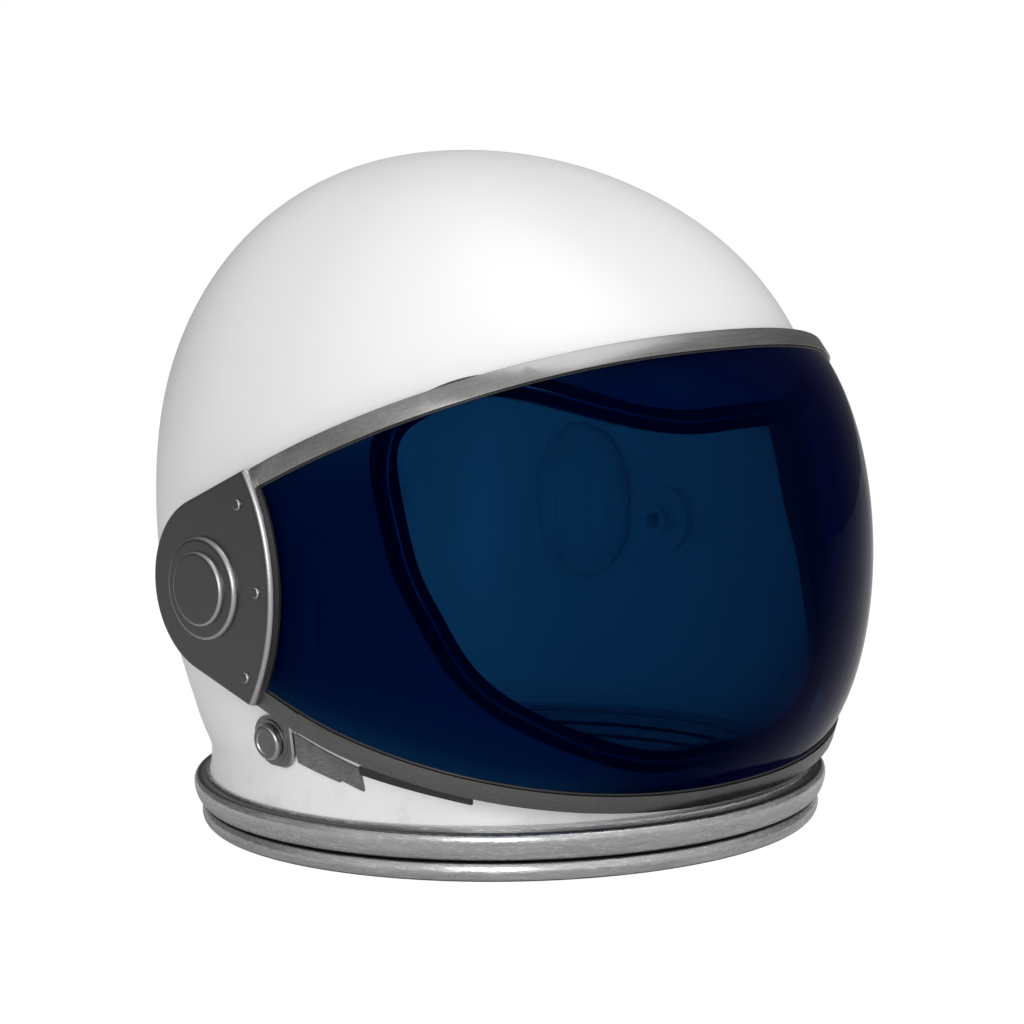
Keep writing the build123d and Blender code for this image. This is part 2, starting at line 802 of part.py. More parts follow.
with BuildPart() as neck_ring:
    with BuildSketch(Plane.XZ):
        with BuildLine():
            Polyline(
                (ring_seat_radius, lock_ring_height + running_gap),
                (spigot_radius, lock_ring_height + running_gap),
                (spigot_radius, lock_flange_height + running_gap),
                (neck_bore_radius, lock_flange_height + running_gap),
                (neck_bore_radius, ring_top_level),
                (ring_top_radius, ring_top_level),
                (ring_top_radius, ring_step_level),
                (ring_step_radius, ring_step_level),
            )
            Spline(
                (ring_step_radius, ring_step_level),
                (ring_bulge_radius, ring_bulge_level),
                (ring_foot_radius, ring_foot_level),
                tangents=((1, 0), (-1, -1)),
            )
            Line((ring_foot_radius, ring_foot_level), (ring_seat_radius, lock_ring_height + running_gap))
        make_face()
    revolve(axis=Axis.Z)
    foot_slot = dome(glue_line, shell_spigot_level - glue_line)
    foot_slot -= dome(-shell_wall - glue_line, shell_spigot_level - overrun)
    add(foot_slot, mode=Mode.SUBTRACT)
    with BuildSketch(Plane.XZ):
        with Locations((neck_bore_radius + seal_radius, seal_level)):
            Circle(seal_radius + seal_gap)
    revolve(axis=Axis.Z, mode=Mode.SUBTRACT)
    add(wire_ring(wire_radius + glue_line), mode=Mode.SUBTRACT)
write(neck_ring.part, "neck_ring")

with BuildPart() as ring_seal:
    with BuildSketch(Plane.XZ):
        with Locations((neck_bore_radius + seal_radius, seal_level)):
            Circle(seal_radius)
    revolve(axis=Axis.Z)
write(ring_seal.part, "ring_seal")

# Lock ring: turns on the neck ring's spigot and takes the collar's pegs in its slots
with BuildPart() as lock_ring:
    with BuildSketch(Plane.XZ):
        with BuildLine():
            Polyline(
                (lock_ring_waist_radius, lock_ring_height),
                (spigot_radius + running_gap, lock_ring_height),
                (spigot_radius + running_gap, lock_flange_height),
                (neck_bore_radius, lock_flange_height),
                (neck_bore_radius, 0),
                (lock_ring_foot_radius, 0),
            )
            ThreePointArc(
                (lock_ring_foot_radius, 0),
                (lock_ring_radius, lock_ring_height / 2),
                (lock_ring_waist_radius, lock_ring_height),
            )
        make_face()
    revolve(axis=Axis.Z)
    add(wire_ring(wire_radius + running_gap), mode=Mode.SUBTRACT)
    for sweep_deg, foot, top in ((slot_entry_deg, 0, slot_top), (slot_turn_deg, slot_rise, slot_top)):
        with BuildSketch(Plane.XY.offset(foot)):
            with PolarLocations(0, slot_count):
                with BuildLine():
                    slot_reach = neck_bore_radius + slot_depth
                    CenterArc((0, 0), slot_reach, 0, sweep_deg)
                    Line((slot_reach, 0), (neck_bore_radius - overrun, 0))
                    CenterArc((0, 0), neck_bore_radius - overrun, 0, sweep_deg)
                    Line(
                        Vector(slot_reach, 0).rotate(Axis.Z, sweep_deg),
                        Vector(neck_bore_radius - overrun, 0).rotate(Axis.Z, sweep_deg),
                    )
                make_face()
        extrude(amount=top - foot, mode=Mode.SUBTRACT)
write(lock_ring.part, "lock_ring")

with BuildPart() as retaining_wire:
    add(wire_ring(wire_radius))
write(retaining_wire.part, "retaining_wire")
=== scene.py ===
import json
import math

import bpy
from bpy.props import FloatProperty, FloatVectorProperty, PointerProperty
from bpy.types import Operator, Panel, PropertyGroup
from mathutils import Matrix, Vector, noise

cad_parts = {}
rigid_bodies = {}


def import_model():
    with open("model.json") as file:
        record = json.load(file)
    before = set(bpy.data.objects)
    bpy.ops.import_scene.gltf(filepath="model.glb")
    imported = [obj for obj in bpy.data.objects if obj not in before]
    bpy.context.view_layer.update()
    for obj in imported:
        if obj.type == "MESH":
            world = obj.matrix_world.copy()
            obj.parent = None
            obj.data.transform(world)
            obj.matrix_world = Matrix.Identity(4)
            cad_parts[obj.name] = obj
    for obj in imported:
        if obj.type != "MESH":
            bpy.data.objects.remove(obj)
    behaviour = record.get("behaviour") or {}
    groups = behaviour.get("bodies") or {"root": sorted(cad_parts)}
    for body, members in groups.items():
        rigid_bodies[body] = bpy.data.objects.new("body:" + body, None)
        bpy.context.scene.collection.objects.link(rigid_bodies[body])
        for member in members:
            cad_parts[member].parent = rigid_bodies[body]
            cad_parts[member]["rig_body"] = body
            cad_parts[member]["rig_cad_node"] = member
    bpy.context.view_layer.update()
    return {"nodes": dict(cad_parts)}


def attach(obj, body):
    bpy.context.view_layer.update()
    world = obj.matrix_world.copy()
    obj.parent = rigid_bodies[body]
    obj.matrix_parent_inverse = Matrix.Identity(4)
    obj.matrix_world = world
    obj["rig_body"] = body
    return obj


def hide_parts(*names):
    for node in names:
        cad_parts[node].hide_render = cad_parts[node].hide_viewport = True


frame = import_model()

bl_info = {
    "name": "Astronaut helmet",
    "version": (1, 0, 0),
    "blender": (4, 5, 0),
    "location": "View3D > Sidebar > Helmet",
    "description": "Finishes, edging, cushions and a plain studio for the astronaut helmet",
    "category": "Object",
}

# Places and sizes that the solids also use, in metres
HALF_OPENING, SILL, OPENING_HEIGHT = 0.1327, 0.0455, 0.1625
# Ridge of the edging, in shares of the opening's half width and height
RIDGE = (
    (0, 0), (0.296, 0.004), (0.473, 0.04), (0.618, 0.094), (0.8, 0.194), (0.885, 0.286),
    (0.946, 0.412), (0.98, 0.511), (0.998, 0.627), (1, 0.768), (0.963, 0.895), (0.895, 0.954),
    (0.775, 1), (0.684, 0.995), (0.467, 0.932), (0.243, 0.891), (0, 0.891),
)
# Place in front of the helmet from which its edging is looked for
IN_FRONT = -0.3
# The bead lies this share of its radius deep in the edging
BEAD_SUNK = 0.72
BEAD_POINTS, CURVE_STEPS = 260, 24
VISOR_HALF_WIDTH = 0.151
UPPER_TILT, LOWER_TILT = math.radians(23.2), math.radians(-18.4)
# Lines where the bands meet the glass: tilt, level, side, bulge and power of the curve
BAND_LINES = {
    "upper": (UPPER_TILT, 0.1619, 0.00174, 0.14168, 2.38),
    "lower": (LOWER_TILT, 0.0793, 0.01572, 0.13293, 2.16),
}
SEAM_POINTS = 97
SEAM_INSET, SEAM_TAIL = 0.00135, 0.018
# Level and half width of the rings' grooves
NECK_GROOVES = ((0.0091, 0.0012), (0.0214, 0.0003))
LOCK_GROOVES = ((0.0083, 0.0006), (0.0, 0.0007))
# Share of the coat in what is seen of the glass, and how far edge on it rises over
COAT_SHARE, COAT_FACING = (0.2, 0.95), (0.3, 0.85)
# Scales of the grain of pieces turned about a sideways or an upright axis
SIDEWAYS_GRAIN, UPRIGHT_GRAIN = (1, 0.06, 0.06), (0.06, 0.06, 1)
SIDES = ("right", "left")

# Slope of the strap's threads, in radians
STRAP_SLOPE = -0.42
LATCH_CENTRE = Vector((-0.1396706, 0.001, 0.0535))
LATCH_AXIS = Vector((-0.9914075, 0, -0.1308099))
# The plate's rear end gets this many flats, at this distance from the axis, up to this turn
PLATE_FLATS, PLATE_REACH, PLATE_TURN = 11, 0.0113, 84
# Depth of what counts as the knob's top, how far it drops, and how its face is found
KNOB_TOP, KNOB_DROP = 0.0022, 0.002
KNOB_FACE_AREA, KNOB_SLACK = 0.00003, 0.0001
# Rim left round the knob's face, and the width and depth of the step inside it
KNOB_RIM, KNOB_STEP, KNOB_SUNK = 0.0009, 0.0004, 0.0005
# Copies of solids: faces that bend less count as flat, and nearer points are joined
FLAT_ANGLE = math.radians(0.4)
MERGE_DISTANCE = 0.000002

HEAD_CENTRE = Vector((0, 0.02, 0.15))
# Cushion, the solid it replaces and the axis across its sewn channels
CUSHIONS = (
    ("crown", "crown_pad", 0), ("rear", "rear_pad", 0),
    ("side_right", "side_pad_right", 1), ("side_left", "side_pad_left", 1),
)
# A cushion's point is on its back above this facing, and its channels fade in from there
BACK_LIMIT, FACE_GAIN = -0.15, 1.6
SWELL_PRESSURE, SWELL_FRAMES = 4, 15
CHANNEL_WIDTH, PUCKER_SHARE, PUCKER_SCALE = 0.0032, 0.25, 160

# Lamp, its place and aim, width and height, spread in degrees, power setting, seen in gloss
LAMPS = (
    ("front_softbox", (-1.55, -1.25, 0.62), (0, 0, 0.14), (0.7, 1.1), 180, "key", True),
    ("top_softbox", (0.3, -0.5, 2.0), (0, 0, 0.15), (1.6, 1.6), 180, "top", True),
    ("face_lamp", (-0.07, -0.1, 0.14), (0.02, 0.14, 0.13), (0.07, 0.07), 120, "face", True),
    ("neck_lamp", (-1.1, -1.1, 0.12), (0, 0, 0), (0.9, 0.3), 24, "neck", False),
)
# Where the sky is brightest, and its grade from dark to bright towards there
SKY_BRIGHTEST = Vector((-0.5, -0.75, 0.45))
SKY_FROM, SKY_DARK, SKY_BRIGHT = -0.3, 0.3, 1.5
GROUND_RADIUS, GROUND_DROP = 6, 0.0002
GROUND_TONE = (0.78, 0.78, 0.78)
# Light that the ground sends to the camera alone, and how much of it there is in what is seen
GROUND_GLOW, GLOW_SHARE = 1.1, 0.88
CAMERA_TURN, CAMERA_RISE, CAMERA_ROLL = math.radians(44.51), math.radians(7.38), math.radians(0.87)
CAMERA_DISTANCE, AIM_ACROSS, AIM_LEVEL = 1.379, 0.0028, 0.1378


def colour(name, description, default):
    """A colour setting."""
    return FloatVectorProperty(
        name=name, description=description, default=default, subtype="COLOR", size=3, min=0, max=1
    )


class HelmetFinish(PropertyGroup):
    """Colours of the helmet's finishes."""

    shell: colour("Shell", "White gloss paint of the shell", (0.83, 0.83, 0.83))
    cover: colour("Covers", "Satin grey of the ear covers", (0.035, 0.035, 0.035))
    # Bright metal for the lips and rims of covers and latch: a painted highlight
    rim_highlight: colour("Rubbed rims", "Bright metal of rubbed lips and rims", (0.42, 0.42, 0.42))
    latch: colour("Latch", "Paler grey of the latch's plate and knob", (0.1, 0.1, 0.1))
    strap: colour("Strap", "Worn grey webbing of the latch's strap", (0.15, 0.15, 0.152))
    upper_band: colour("Upper band", "Brushed metal of the visor's upper band", (0.3, 0.296, 0.292))
    # The lower band's darker copy of the band metal is painted shade
    lower_band: colour(
        "Lower band", "Darker metal of the visor's lower band", (0.145, 0.143, 0.142)
    )
    ring: colour("Neck ring", "Worn metal of the neck ring", (0.58, 0.58, 0.585))
    fitting: colour("Fittings", "Bright steel of bolts, nuts and wire", (0.55, 0.55, 0.56))
    bead: colour("Bead", "Polished metal of the bead in the edging", (0.85, 0.85, 0.86))
    bush: colour("Bushes", "Bronze of the pivot bushes and washers", (0.42, 0.25, 0.1))
    rubber: colour("Rubber", "Black rubber of edging, seams and seal", (0.014, 0.014, 0.015))
    tint: colour("Visor tint", "What each face of the visor lets through", (0.1, 0.31, 0.5))
    coat: colour("Visor coat", "Deep blue of the visor's coating", (0.0, 0.0008, 0.02))
    mirror: colour("Visor mirror", "What the visor's coating reflects", (0.0, 0.04, 1.0))
    cloth: colour("Cushions", "White cloth of the head pads", (0.86, 0.86, 0.86))


class HelmetSizes(PropertyGroup):
    """Sizes of the pieces that are modelled here."""

    bead: FloatProperty(
        name="Edging bead", description="Radius of the bead along the edging", default=0.0011,
        min=0.0004, max=0.003, unit="LENGTH",
    )
    edge_round: FloatProperty(
        name="Edge round", description="Round on the edges of the bands and the latch plate",
        default=0.00035, min=0.0001, max=0.001, unit="LENGTH",
    )
    seam: FloatProperty(
        name="Seam", description="Radius of the black seams between bands and glass",
        default=0.00065, min=0.0002, max=0.002, unit="LENGTH",
    )
    voxel: FloatProperty(
        name="Cushion mesh", description="Mesh size of the cushions", default=0.0042,
        min=0.002, max=0.008, unit="LENGTH",
    )
    swell: FloatProperty(
        name="Swell", description="How far a cushion's face may swell", default=0.004,
        min=0.0, max=0.01, unit="LENGTH",
    )
    channel: FloatProperty(
        name="Channel depth", description="Depth of the sewn channels in the cushions",
        default=0.0022, min=0.0, max=0.005, unit="LENGTH",
    )
    channel_pitch: FloatProperty(
        name="Channel pitch", description="Distance between the cushions' sewn channels",
        default=0.024, min=0.01, max=0.06, unit="LENGTH",
    )


class HelmetStudio(PropertyGroup):
    """Light and camera."""

    sky: FloatProperty(
        name="Sky", description="Strength of the even light", default=0.6, min=0, max=2
    )
    key: FloatProperty(
        name="Front softbox", description="Power of the front softbox in watts", default=10.5,
        min=0, max=200,
    )
    top: FloatProperty(
        name="Top softbox", description="Power of the overhead softbox in watts", default=13,
        min=0, max=200,
    )
    face: FloatProperty(
        name="Face lamp", description="Power of the small lamp in the face opening in watts",
        default=0.095, min=0, max=5,
    )
    neck: FloatProperty(
        name="Neck lamp", description="Power of the low lamp on the neck in watts", default=0.15,
        min=0, max=5,
    )
    lens: FloatProperty(
        name="Lens", description="Focal length on 36 mm film", default=105.8, min=20, max=300
    )


def shade(tone, factor):
    """The same colour, darker or paler."""
    return tuple(min(part * factor, 1) for part in tone)


class Finish:
    """A material whose nodes are added one after another."""

    def __init__(self, name):
        self.material = bpy.data.materials.get(name) or bpy.data.materials.new(name)
        self.material.use_nodes = True
        self.tree = self.material.node_tree
        self.tree.nodes.clear()
        self.output = self.node("OutputMaterial")
        self.shader = self.node("BsdfPrincipled")
        self.link(self.shader.outputs["BSDF"], self.output.inputs["Surface"])

    def node(self, kind, **values):
        """New node with some of its settings."""
        made = self.tree.nodes.new("ShaderNode" + kind)
        for name, value in values.items():
            setattr(made, name, value)
        return made

    def link(self, source, target):
        """Lead one node's result into another node."""
        self.tree.links.new(source, target)

    def set(self, **values):
        """Fixed values of the surface's inputs."""
        for name, value in values.items():
            socket = self.shader.inputs[name.replace("_", " ")]
            socket.default_value = (*value, 1) if hasattr(value, "__len__") else value
        return self

    def place(self, scale=(1, 1, 1), turn=(0, 0, 0)):
        """Object coordinates, turned and scaled."""
        coordinates = self.node("TexCoord")
        mapping = self.node("Mapping")
        self.link(coordinates.outputs["Object"], mapping.inputs["Vector"])
        mapping.inputs["Rotation"].default_value = turn
        mapping.inputs["Scale"].default_value = scale
        return mapping.outputs["Vector"]

    def math(self, operation, *values):
        """One sum on numbers or on other nodes' results."""
        made = self.node("Math", operation=operation)
        for socket, value in zip(made.inputs, values):
            if isinstance(value, (int, float)):
                socket.default_value = value
            else:
                self.link(value, socket)
        return made.outputs[0]

    def noise(self, vector, scale, detail, roughness):
        """Cloudy values, about 0.3 to 0.7."""
        made = self.node("TexNoise")
        self.link(vector, made.inputs["Vector"])
        made.inputs["Scale"].default_value = scale
        made.inputs["Detail"].default_value = detail
        made.inputs["Roughness"].default_value = roughness
        return made.outputs["Fac"]

    def spread(self, value, low, high, from_low=0.3, from_high=0.7):
        """Smooth step from low to high, while the value runs over the second range."""
        made = self.node("MapRange", interpolation_type="SMOOTHSTEP")
        self.link(value, made.inputs["Value"])
        numbers = {"From Min": from_low, "From Max": from_high, "To Min": low, "To Max": high}
        for name, number in numbers.items():
            made.inputs[name].default_value = number
        return made.outputs["Result"]

    def mix(self, share, first, second):
        """Colour between two others."""
        made = self.node("Mix", data_type="RGBA")
        for name, value in (("Factor_Float", share), ("A_Color", first), ("B_Color", second)):
            socket = next(s for s in made.inputs if s.identifier == name)
            if isinstance(value, (int, float)):
                socket.default_value = value
            elif hasattr(value, "is_output"):
                self.link(value, socket)
            else:
                socket.default_value = (*value, 1)
        return next(s for s in made.outputs if s.identifier == "Result_Color")

    def bump(self, height, distance, strength=1.0):
        """Relief of the surface, its distance in metres."""
        made = self.node("Bump")
        self.link(height, made.inputs["Height"])
        made.inputs["Distance"].default_value = distance
        made.inputs["Strength"].default_value = strength
        self.feed("Normal", made.outputs["Normal"])

    def feed(self, socket, value):
        """Let another node drive an input of the surface."""
        self.link(value, self.shader.inputs[socket])

    def brush_round(self):
        """Turn the stretched highlight round the upright axis."""
        self.feed("Tangent", self.node("Tangent", direction_type="RADIAL", axis="Z").outputs[0])

    def round_place(self, turns, along, tilt=0.0):
        """Turn, radius and level about the upright axis as coordinates, and the plain level."""
        split = self.node("SeparateXYZ")
        self.link(self.place(turn=(tilt, 0, 0)), split.inputs[0])
        angle = self.math("ARCTAN2", split.outputs["X"], split.outputs["Y"])
        squares = [self.math("POWER", split.outputs[axis], 2.0) for axis in ("X", "Y")]
        radius = self.math("POWER", self.math("ADD", *squares), 0.5)
        joined = self.node("CombineXYZ")
        self.link(self.math("MULTIPLY", angle, turns), joined.inputs["X"])
        self.link(self.math("MULTIPLY", radius, along), joined.inputs["Y"])
        self.link(self.math("MULTIPLY", split.outputs["Z"], along), joined.inputs["Z"])
        return joined.outputs[0], split.outputs["Z"]


def white_shell(finish):
    """Gloss paint with a faint ripple, and handling marks towards the neck."""
    made = Finish("white_shell").set(Roughness=0.4, Coat_Weight=0.12, Coat_Roughness=0.25)
    split = made.node("SeparateXYZ")
    made.link(made.place(), split.inputs[0])
    patches = made.noise(made.place(), 7, 3, 0.5)
    low = made.spread(split.outputs["Z"], 1.0, 0.0, 0.02, 0.06)
    specks = made.spread(made.noise(made.place(), 55, 5, 0.65), 0.0, 1.0, 0.5, 0.8)
    marks = made.math("MULTIPLY", low, specks)
    worn = made.mix(marks, tuple(finish.shell), shade(finish.shell, 0.8))
    tone = made.mix(made.spread(patches, 0.0, 0.3), worn, shade(finish.shell, 0.98))
    made.feed("Base Color", tone)
    made.feed("Roughness", made.spread(made.noise(made.place(), 12, 4, 0.5), 0.38, 0.44))
    made.bump(made.noise(made.place(), 190, 2, 0.4), 0.00004)
    return made.material


def satin_metal(name, base, worn):
    """Satin grey metal with a fine grain and a little cloud; the bright metal on its lips and rims
    is a painted highlight.
    """
    made = Finish(name).set(Metallic=1.0, Roughness=0.32)
    made.set(Coat_Weight=1.0, Coat_Roughness=0.25, Coat_IOR=1.6)
    coordinates = made.node("TexCoord")
    split = made.node("SeparateXYZ")
    made.link(coordinates.outputs["Normal"], split.inputs[0])
    # Where the normal turns away from the flat side, the base goes to bright metal: a painted
    # highlight on lips, rims and rivets
    rim = made.spread(made.math("ABSOLUTE", split.outputs["X"]), 1.0, 0.0, 0.76, 0.975)
    grain = made.noise(made.place(), 1400, 3, 0.6)
    cloud = made.noise(made.place(), 24, 5, 0.6)
    tone = made.mix(made.spread(cloud, 0.0, 1.0), shade(base, 0.93), shade(base, 1.08))
    highlit = made.mix(made.spread(cloud, 0.0, 1.0), shade(worn, 0.9), tuple(worn))
    made.feed("Base Color", made.mix(rim, tone, highlit))
    made.feed("Roughness", made.spread(cloud, 0.29, 0.36))
    made.bump(grain, 0.00003)
    return made.material


def brushed_band(name, base, tilt):
    """Metal brushed along the band, with darker clouds of handling."""
    made = Finish(name).set(Metallic=1.0, Roughness=0.3, Anisotropic=0.5)
    vector, _ = made.round_place(3.0, 900.0, tilt)
    streak = made.noise(vector, 1.0, 3, 0.7)
    cloud = made.noise(made.place(), 9, 2, 0.5)
    tone = made.mix(made.spread(streak, 0.0, 1.0), shade(base, 0.93), shade(base, 1.05))
    made.feed("Base Color", made.mix(made.spread(cloud, 0.0, 0.3), tone, shade(base, 0.9)))
    made.feed("Roughness", made.spread(streak, 0.25, 0.33))
    made.brush_round()
    made.bump(streak, 0.00002)
    return made.material


def worn_ring(finish, name, grooves):
    """Turned metal with short rubbed streaks, dark and dull in its grooves."""
    made = Finish(name).set(Metallic=1.0, Roughness=0.36, Anisotropic=0.35)
    vector, level = made.round_place(5.0, 420.0)
    streak = made.noise(vector, 1.0, 3, 0.6)
    rub_vector, _ = made.round_place(30.0, 1300.0)
    rub = made.noise(rub_vector, 1.0, 4, 0.6)
    # Darker and duller towards the middle of each groove
    groove_share = None
    for middle, half in grooves:
        away = made.math("ABSOLUTE", made.math("SUBTRACT", level, middle))
        near = made.spread(away, 1.0, 0.0, half * 0.5, half)
        groove_share = near if groove_share is None else made.math("MAXIMUM", groove_share, near)
    bright = made.spread(rub, 0.0, 0.8, 0.5, 0.8)
    tone = made.mix(made.spread(streak, 0.0, 1.0), shade(finish.ring, 0.8), tuple(finish.ring))
    tone = made.mix(bright, tone, shade(finish.ring, 1.5))
    tone = made.mix(groove_share, tone, shade(finish.ring, 0.16))
    made.feed("Base Color", tone)
    dull = made.math("MULTIPLY", groove_share, 0.25)
    made.feed("Roughness", made.math("ADD", made.spread(rub, 0.2, 0.34, 0.35, 0.7), dull))
    made.brush_round()
    made.bump(made.math("ADD", made.math("MULTIPLY", rub, 2.0), streak), 0.00006, 0.6)
    return made.material


def painted_steel(finish):
    """White paint on the inner nuts and washers, with runs."""
    made = Finish("painted_steel").set(Roughness=0.45)
    runs = made.noise(made.place(), 260, 4, 0.6)
    made.feed("Base Color", made.mix(
        made.spread(runs, 0.0, 1.0, 0.55, 0.8), tuple(finish.shell), shade(finish.shell, 0.86)
    ))
    made.bump(runs, 0.0001)
    return made.material


def rubber(name, base, low, high):
    """Moulded rubber with a fine pebble and a dusty bloom."""
    made = Finish(name).set(Roughness=0.4)
    bloom = made.noise(made.place(), 30, 5, 0.65)
    made.feed("Base Color", made.mix(made.spread(bloom, 0.0, 0.6), tuple(base), shade(base, 1.9)))
    made.feed("Roughness", made.spread(bloom, low, high))
    made.bump(made.noise(made.place(), 1700, 2, 0.5), 0.00003)
    return made.material


def strap_webbing(finish):
    """Coarse webbing with lengthwise threads and darker patches."""
    made = Finish("strap_webbing").set(Roughness=0.8, Sheen_Weight=0.2)
    threads = made.noise(made.place(scale=(1, 0.1, 1), turn=(STRAP_SLOPE, 0, 0)), 1500, 3, 0.7)
    patches = made.noise(made.place(), 130, 4, 0.6)
    tone = made.mix(
        made.spread(threads, 0.0, 1.0), shade(finish.strap, 0.62), shade(finish.strap, 1.3)
    )
    worn = made.spread(patches, 0.0, 0.7, 0.35, 0.7)
    made.feed("Base Color", made.mix(worn, tone, shade(finish.strap, 0.55)))
    made.bump(threads, 0.0003, 0.8)
    return made.material


def turned_metal(name, tone, stretch, low=0.24, high=0.36):
    """Turned or drawn metal with fine lines across its axis."""
    made = Finish(name).set(Metallic=1.0, Roughness=0.3)
    grain = made.noise(made.place(scale=stretch), 2600, 3, 0.6)
    made.feed("Base Color", made.mix(made.spread(grain, 0.0, 1.0), shade(tone, 0.85), tuple(tone)))
    made.feed("Roughness", made.spread(grain, low, high))
    made.bump(grain, 0.00002)
    return made.material


def mirror_glass(finish):
    """Blue glass that shows more of its coat the more it is seen edge on."""
    made = Finish("blue_mirror_glass").set(Roughness=0.04, Specular_IOR_Level=0.02, IOR=1.45)
    made.set(Specular_Tint=tuple(finish.mirror))
    haze = made.noise(made.place(), 11, 3, 0.5)
    made.feed("Base Color", made.mix(
        made.spread(haze, 0.0, 1.0), tuple(finish.coat), shade(finish.coat, 1.25)
    ))
    clear = made.node("BsdfTransparent")
    clear.inputs["Color"].default_value = (*finish.tint, 1)
    edge = made.node("LayerWeight")
    edge.inputs["Blend"].default_value = 0.5
    both = made.node("MixShader")
    made.link(made.spread(edge.outputs["Facing"], *COAT_SHARE, *COAT_FACING), both.inputs["Fac"])
    made.link(clear.outputs["BSDF"], both.inputs[1])
    made.link(made.shader.outputs["BSDF"], both.inputs[2])
    made.link(both.outputs["Shader"], made.output.inputs["Surface"])
    return made.material


def woven_cloth(finish):
    """Plain weave with a soft sheen."""
    made = Finish("pad_cloth").set(Roughness=0.85, Sheen_Weight=0.25, Sheen_Roughness=0.4)
    waves = []
    for turn in ((0, 0, 0), (0, math.pi / 2, 0), (math.pi / 2, 0, 0)):
        wave = made.node("TexWave", wave_type="BANDS", bands_direction="X")
        made.link(made.place(turn=turn), wave.inputs["Vector"])
        wave.inputs["Scale"].default_value = 260
        wave.inputs["Distortion"].default_value = 0.6
        wave.inputs["Detail"].default_value = 1
        waves.append(wave.outputs["Fac"])
    weave = made.math("MAXIMUM", made.math("MAXIMUM", waves[0], waves[1]), waves[2])
    cloud = made.noise(made.place(), 22, 4, 0.6)
    thread = made.spread(weave, 0.0, 1.0, 0.1, 0.9)
    tone = made.mix(thread, shade(finish.cloth, 0.9), tuple(finish.cloth))
    made.feed("Base Color", made.mix(made.spread(cloud, 0.0, 0.4), tone, shade(finish.cloth, 0.95)))
    made.bump(weave, 0.00025, 0.7)
    return made.material


def dress(name, material):
    """Give a CAD node its finish and leave its shape alone."""
    node = frame["nodes"][name]
    node.data.materials.clear()
    node.data.materials.append(material)
    return node


def pick_none():
    """Leave object mode with nothing selected."""
    if bpy.context.object and bpy.context.object.mode != "OBJECT":
        bpy.ops.object.mode_set(mode="OBJECT")
    bpy.ops.object.select_all(action="DESELECT")


def pick(piece):
    """Select one piece alone and make it the active one."""
    pick_none()
    piece.select_set(True)
    bpy.context.view_layer.objects.active = piece


def finish_modifiers(piece):
    """Apply a piece's modifiers in order."""
    pick(piece)
    for modifier in list(piece.modifiers):
        bpy.ops.object.modifier_apply(modifier=modifier.name)


def settle(piece, material, body):
    """Apply a finished piece's place, give it its finish and let it ride on its body."""
    pick(piece)
    bpy.ops.object.transform_apply(location=True, rotation=True, scale=True)
    piece.data.materials.clear()
    piece.data.materials.append(material)
    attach(piece, body)
    return piece


def merged_copy(node, name):
    """Copy of a CAD node with its loose triangles joined."""
    piece = frame["nodes"][node].copy()
    piece.data = frame["nodes"][node].data.copy()
    piece.name = name
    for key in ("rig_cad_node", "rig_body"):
        if key in piece:
            del piece[key]
    piece.parent = None
    bpy.context.scene.collection.objects.link(piece)
    pick(piece)
    bpy.ops.mesh.customdata_custom_splitnormals_clear()
    bpy.ops.object.mode_set(mode="EDIT")
    bpy.ops.mesh.select_all(action="SELECT")
    bpy.ops.mesh.remove_doubles(threshold=MERGE_DISTANCE)
    bpy.ops.object.mode_set(mode="OBJECT")
    return piece


def round_edges(piece, width, sharp, smooth):
    """Round the edges that are sharper than an angle, and smooth what is flatter than another."""
    bevel = piece.modifiers.new("edge_round", "BEVEL")
    bevel.width = width
    bevel.segments = 3
    bevel.limit_method = "ANGLE"
    bevel.angle_limit = math.radians(sharp)
    finish_modifiers(piece)
    bpy.ops.object.shade_smooth_by_angle(angle=math.radians(smooth))


def rounded_copy(node, name, width):
    """Copy of a CAD node with its sharp edges rounded."""
    piece = merged_copy(node, name)
    pick(piece)
    bpy.ops.object.mode_set(mode="EDIT")
    bpy.ops.mesh.select_all(action="SELECT")
    bpy.ops.mesh.dissolve_limited(angle_limit=FLAT_ANGLE)
    bpy.ops.object.mode_set(mode="OBJECT")
    round_edges(piece, width, sharp=35, smooth=28)
    return piece


def tube(name, points, radius, closed):
    """Round bead that runs through points: a ring or line of vertices, given a round section."""
    pick_none()
    bpy.ops.mesh.primitive_circle_add(vertices=len(points), radius=0.1)
    piece = bpy.context.object
    piece.name = name
    for vertex, point in zip(piece.data.vertices, points):
        vertex.co = point
    if not closed:
        bpy.ops.object.mode_set(mode="EDIT")
        bpy.ops.mesh.select_all(action="DESELECT")
        bpy.ops.object.mode_set(mode="OBJECT")
        last = {0, len(points) - 1}
        for edge in piece.data.edges:
            edge.select = set(edge.vertices) == last
        bpy.ops.object.mode_set(mode="EDIT")
        bpy.ops.mesh.select_mode(type="EDGE")
        bpy.ops.mesh.delete(type="EDGE_FACE")
        bpy.ops.object.mode_set(mode="OBJECT")
    bpy.ops.object.convert(target="CURVE")
    piece = bpy.context.object
    piece.data.bevel_depth = radius
    piece.data.bevel_resolution = 3
    piece.data.use_fill_caps = not closed
    bpy.ops.object.convert(target="MESH")
    piece = bpy.context.object
    bpy.ops.object.shade_smooth()
    return piece


